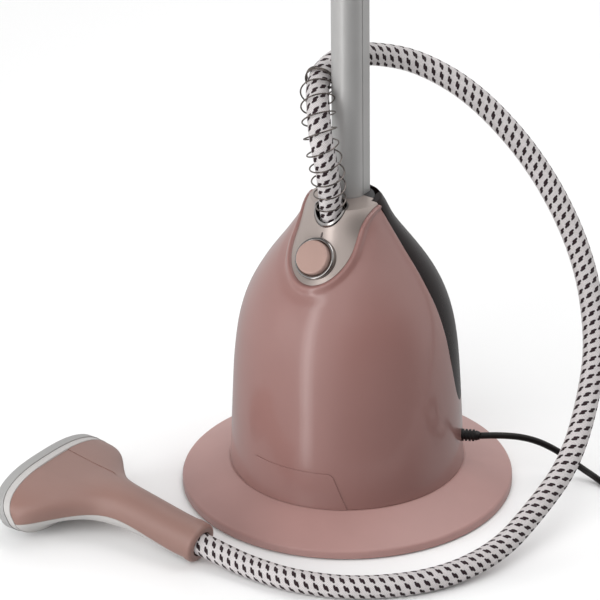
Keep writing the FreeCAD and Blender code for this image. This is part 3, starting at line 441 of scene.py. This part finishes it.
LIP_EDGE, LIP_CROWN, LIP_FOOT, LIP_END = 0.35, 3.2, 10.5, 24
LIP_HEIGHT, LIP_FALL, LIP_DIP, LIP_TUCK = 2.2, 2.8, 0.6, 1.4


def eased(share):
    """1 at the start and 0 at the end, level at both."""
    return 0.5 + 0.5 * cos(pi * share)


def roll(distance):
    """Height of the rolled edge round the trim plate: a crown, its foot, and the way back to the bell."""
    if distance < LIP_EDGE:
        return -LIP_TUCK
    if distance < LIP_CROWN:
        return LIP_HEIGHT * sin(pi / 2 * (distance + 0.4) / (LIP_CROWN + 0.4))
    if distance < LIP_FOOT:
        return LIP_FALL * eased((distance - LIP_CROWN) / (LIP_FOOT - LIP_CROWN)) - LIP_DIP
    if distance < LIP_END:
        return -LIP_DIP * eased((distance - LIP_FOOT) / (LIP_END - LIP_FOOT))
    return 0.0


LIP_LOWEST, LIP_FADE_START, LIP_FADE_END = 200, 6, 16


def bell_point(radius, height, slope, turn):
    """A place on the body's skin, with the rolled edge; turn is measured from the front."""
    x, y = radius * sin(turn), -radius * cos(turn)
    normal = Vector((slope[1] * sin(turn), -slope[1] * cos(turn), -slope[0]))
    if y > LIP_FADE_END or height < LIP_LOWEST:
        return Vector((x, y, height))
    distance, (grow_x, grow_z) = trim_distance(x, height)
    facing = normal.x * grow_x + normal.z * grow_z
    lie = max(0.3, (1 - min(1.0, facing * facing)) ** 0.5)
    fade = min(1.0, (LIP_FADE_END - y) / (LIP_FADE_END - LIP_FADE_START))
    return Vector((x, y, height)) + normal * roll(distance / lie) * fade


SIDE_COLUMNS, BACK_COLUMNS, SKIN_THICKNESS = 380, 90, 0.0024
HOLE_LOWEST, HOLE_BACK, HOLE_INSET = 240, 12, 2.5
TANK_FLOOR, FLOOR_LINE, FLOOR_RADIUS = 100, 46, 116.9


def behind_trim(place):
    """Whether the trim plate covers the body here, so that the skin has a hole."""
    inside, _ = trim_distance(place.x, place.z)
    return place.z > HOLE_LOWEST and place.y < HOLE_BACK and inside < -HOLE_INSET


def make_body():
    """The bell's skin: all round below the tank's floor, and in front of the parting line above it."""
    profile = through(BELL, 1.3)
    slopes = []
    for number in range(len(profile)):
        way = (profile[min(number + 1, len(profile) - 1)] - profile[max(number - 1, 0)]).normalized()
        slopes.append((way.x, way.y))
    points, faces, rows = [], [], []
    low_turn = acos(-FLOOR_LINE / FLOOR_RADIUS)
    first_upper = next(number for number, point in enumerate(profile) if point.y >= TANK_FLOOR)
    for number, (point, slope) in enumerate(zip(profile, slopes)):
        limit = low_turn if number < first_upper else acos(max(-1.0, -parting_at(point.y) / point.x))
        turns = [limit * (2 * column / SIDE_COLUMNS - 1) for column in range(SIDE_COLUMNS + 1)]
        if number < first_upper + 1:
            rest = 2 * pi - 2 * limit
            turns += [limit + rest * column / BACK_COLUMNS for column in range(1, BACK_COLUMNS)]
        rows.append(len(points))
        points += [bell_point(point.x, point.y, slope, turn) for turn in turns]
    for number in range(len(profile) - 1):
        low, high = rows[number], rows[number + 1]
        for column in range(SIDE_COLUMNS):
            if not behind_trim(points[low + column]):
                faces.append((low + column, low + column + 1, high + column + 1, high + column))
        if number < first_upper:
            for column in range(SIDE_COLUMNS, SIDE_COLUMNS + BACK_COLUMNS):
                following = (column + 1) % (SIDE_COLUMNS + BACK_COLUMNS)
                faces.append((low + column, low + following, high + following, high + column))
    body = mesh_piece("body_skin", [point / 1000 for point in points], faces)
    cleaner = bmesh.new()
    cleaner.from_mesh(body.data)
    loose = [vertex for vertex in cleaner.verts if not vertex.link_faces]
    bmesh.ops.delete(cleaner, geom=loose, context="VERTS")
    cleaner.to_mesh(body.data)
    cleaner.free()
    thick = body.modifiers.new("wall", "SOLIDIFY")
    thick.thickness, thick.offset = SKIN_THICKNESS, -1
    return link(body, "base", "body_pink", "body_shell")


body = make_body()


# --- spring guard round the hose --------------------------------------------------------------------

def helix_along(line, radius_at, pitch_at, end):
    """Points of a helix round a line, from its start to end metres along it, 12 degrees of turn apart."""
    points, turn, step = [], 0.0, radians(12)
    frames = frames_along(line)
    for (place, side, up, so_far), (ahead, _, _, following) in zip(frames, frames[1:]):
        if so_far > end:
            break
        sweep = 2 * pi * (following - so_far) / pitch_at(so_far)
        parts = max(1, round(sweep / step))
        for number in range(parts):
            share = number / parts
            angle = turn + sweep * share
            out = (side * cos(angle) + up * sin(angle)) * radius_at(so_far)
            points.append(place.lerp(ahead, share) + out)
        turn += sweep
    return points


WIRE_RADIUS, GUARD_END = 0.0008, 0.167
NARROW_COIL, WIDENING, CLOSING = 0.0134, 0.0034, 0.0024
OPEN_TURNS_START, OPEN_TURNS_END = 0.006, 0.163


def guard_radius(so_far):
    """The coil opens from the outlet, stays wide over the bend and closes on the hose at its end."""
    opened, closed = min(1.0, so_far / 0.05), min(1.0, max(0.0, so_far - 0.150) / 0.012)
    return NARROW_COIL + WIDENING * opened - CLOSING * closed


def guard_pitch(so_far):
    """Close turns at the outlet and at the free end, and open turns between them."""
    if so_far < OPEN_TURNS_START:
        return 0.0042
    return 0.0158 if so_far < OPEN_TURNS_END else 0.0018


guard_line = even(line_of(HOSE_ROUTE), step=0.0005)
guard_turns = helix_along(guard_line, guard_radius, guard_pitch, GUARD_END)
guard = tube("guard_wire", guard_turns, WIRE_RADIUS, sides=10)
link(guard, "base", "chrome", "hose_spring_guard")


bpy.context.scene.view_settings.view_transform = "Standard"


# --- floor and light ------------------------------------------------------------------------------

def lamp(name, place, aim, power, wide, tall, seen=True):
    """A softbox; with seen off, it lights things but does not show in them."""
    data = bpy.data.lights.new(name, "AREA")
    data.shape = "RECTANGLE"
    data.energy, data.size, data.size_y = power, wide, tall
    light = bpy.data.objects.new(name, data)
    light.location = place
    light.rotation_euler = (Vector(aim) - Vector(place)).to_track_quat("-Z", "Y").to_euler()
    light.visible_glossy = seen
    bpy.context.scene.collection.objects.link(light)


FLOOR_HALF = 6
floor_corners = [(-FLOOR_HALF, -FLOOR_HALF, 0), (FLOOR_HALF, -FLOOR_HALF, 0),
                 (FLOOR_HALF, FLOOR_HALF, 0), (-FLOOR_HALF, FLOOR_HALF, 0)]
floor = mesh_piece("floor", floor_corners, [(0, 1, 2, 3)])
bpy.context.scene.collection.objects.link(floor)
floor.data.materials.append(Paint("floor_paint", (0.88, 0.88, 0.88, 1), 0.9).material)
floor.visible_glossy = False

STUDIO = 0.8
# Each dark side: its direction, where it starts and is darkest (as a cosine), and how dark it is.
DARK_SIDES = (((0.55, -0.82, -0.16), 0.5, 0.93, 0.02), ((-0.55, 0.0, 0.83), 0.75, 0.97, 0.15),
              ((0, 0, -1), 0.0, 0.5, 0.6))


def make_world():
    """A white studio with three dark sides: low at the front right, high at the left, and below."""
    world = bpy.data.worlds.new("studio")
    world.use_nodes = True
    nodes, links = world.node_tree.nodes, world.node_tree.links
    way = nodes.new("ShaderNodeTexCoord").outputs["Generated"]
    level = None
    for aim, edge, core, dark in DARK_SIDES:
        facing = nodes.new("ShaderNodeVectorMath")
        facing.operation = "DOT_PRODUCT"
        links.new(way, facing.inputs[0])
        facing.inputs[1].default_value = Matrix.Rotation(HEADING, 3, "Z") @ Vector(aim).normalized()
        fall = nodes.new("ShaderNodeMapRange")
        fall.interpolation_type = "SMOOTHSTEP"
        for socket, value in (("From Min", edge), ("From Max", core), ("To Min", 1.0), ("To Max", dark)):
            fall.inputs[socket].default_value = value
        links.new(facing.outputs["Value"], fall.inputs["Value"])
        if level is None:
            level = fall.outputs["Result"]
        else:
            both = nodes.new("ShaderNodeMath")
            both.operation = "MULTIPLY"
            links.new(level, both.inputs[0])
            links.new(fall.outputs["Result"], both.inputs[1])
            level = both.outputs["Value"]
    strength = nodes.new("ShaderNodeMath")
    strength.operation = "MULTIPLY"
    links.new(level, strength.inputs[0])
    strength.inputs[1].default_value = STUDIO
    background = nodes["Background"]
    background.inputs["Color"].default_value = (1, 1, 1, 1)
    links.new(strength.outputs["Value"], background.inputs["Strength"])
    bpy.context.scene.world = world


make_world()
lamp("side", from_view((-2400, -1000, 700)), mm(0, 0, 150), 29, 1.4, 1.0, False)
lamp("front", from_view((-600, -2300, 2300)), mm(0, 0, 50), 26, 1.6, 1.6, False)
lamp("strip", from_view((-1450, -1720, 600)), mm(0, 0, 260), 9, 0.6, 3.2)
lamp("strip_core", from_view((-1440, -1700, 600)), mm(0, 0, 260), 4, 0.25, 3.2)
lamp("top", from_view((900, 300, 2600)), mm(0, 0, 0), 23, 2.0, 2.0)
lamp("back", from_view((400, 2200, 1900)), mm(0, 0, 300), 14, 1.6, 1.6, False)


# --- finishes of the CAD nodes --------------------------------------------------------------------

finishes = {
    "disc_pink": plastic("disc_paint", linear(166, 129, 124), 0.42, grain_height=0.00001),
    "body_pink": plastic("body_paint", linear(137, 101, 96), 0.28, grain_height=0.000002, variation=0.02,
                         gloss=0.01, Coat_Weight=0.5, Coat_Roughness=0.08),
    "handset_pink": plastic("handset_paint", linear(136, 106, 98), 0.42),
    "silver_trim": plastic("trim_paint", linear(176, 164, 158), 0.3, Metallic=0.7),
    "chrome": metal("chrome_metal", (0.42, 0.4, 0.39, 1), 0.12),
    "guard": metal("guard_wire_steel", linear(128, 120, 116), 0.22),
    "pole_metal": plastic("pole_satin", linear(176, 175, 174), 0.38, gloss=0.02, Metallic=0.4),
    "smoke": plastic("tank_smoke", linear(27, 20, 20), 0.28, grain_height=0.000003, Specular_IOR_Level=0.07),
    "dark_plastic": plastic("dark_plastic_paint", linear(38, 36, 37), 0.5),
    "grey_plastic": plastic("grey_plastic_paint", linear(152, 151, 150), 0.45),
    "pale_plastic": plastic("pale_plastic_paint", linear(180, 177, 175), 0.4),
    "black_rubber": plastic("black_rubber_paint", linear(18, 13, 13), 0.4, Specular_IOR_Level=0.3),
    "steel": metal("steel_metal", (0.6, 0.6, 0.6, 1), 0.3),
    "hose_braid": braid("hose_braid_cloth"),
    "brass": metal("brass_metal", (0.72, 0.55, 0.26, 1), 0.25),
    "silicone": plastic("silicone_rubber", linear(205, 203, 196), 0.5),
    "board_green": plastic("board_paint", linear(32, 96, 62), 0.4),
    "white_lens": plastic("lens_plastic", linear(90, 82, 80), 0.2),
    "cast": metal("cast_aluminium", (0.5, 0.5, 0.5, 1), 0.5),
}
button_paint = plastic("button_paint", linear(160, 132, 123), 0.36)
for part in frame["record"]["subparts"]:
    node = frame["nodes"][part["node"]]
    node.data.materials.clear()
    node.data.materials.append(finishes[part["material_slot"]])
own_finish = {"power_button": button_paint, "handset_trim_ring": finishes["pale_plastic"],
              "handset_lower_shell": finishes["pale_plastic"], "hose_outlet_ring": finishes["chrome"],
              "neck_ring": finishes["dark_plastic"]}
for name, finish in own_finish.items():
    frame["nodes"][name].data.materials[0] = finish
hose.data.materials.append(finishes["hose_braid"])
body.data.materials.append(finishes["body_pink"])
guard.data.materials.append(finishes["guard"])
mains.data.materials.append(finishes["black_rubber"])
